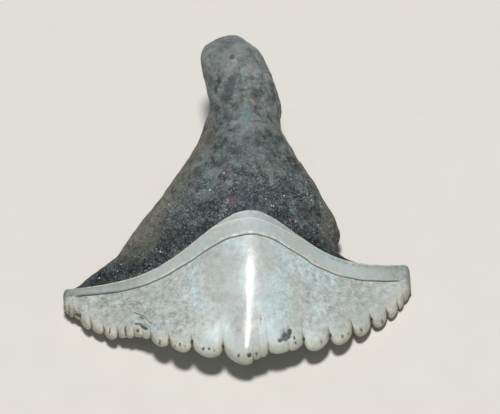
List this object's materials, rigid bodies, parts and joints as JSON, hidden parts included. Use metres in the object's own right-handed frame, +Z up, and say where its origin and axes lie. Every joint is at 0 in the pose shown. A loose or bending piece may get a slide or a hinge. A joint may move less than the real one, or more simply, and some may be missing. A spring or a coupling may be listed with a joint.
{
  "type": "fossil fish tooth",
  "caption": "Fossil petal-toothed fish tooth: glossy comb-edged enamel crown under a raised band, on a dark tapering root that ends in a finger-like stem, lying outer face up.",
  "frame": {"origin": "on the surface the tooth lies on, under the middle of its plan", "axes": "+X left to right across the comb, +Y from the cutting edge towards the stem, +Z up through the outer face"},
  "size_m": [0.0142, 0.0144, 0.0049],
  "materials": {
    "fossil_tooth": "pale blue-grey glossy enamel crown, and a dark granular matt root"
  },
  "bodies": {
    "root": {"tooth": "fossil_tooth"}
  },
  "joints": []
}
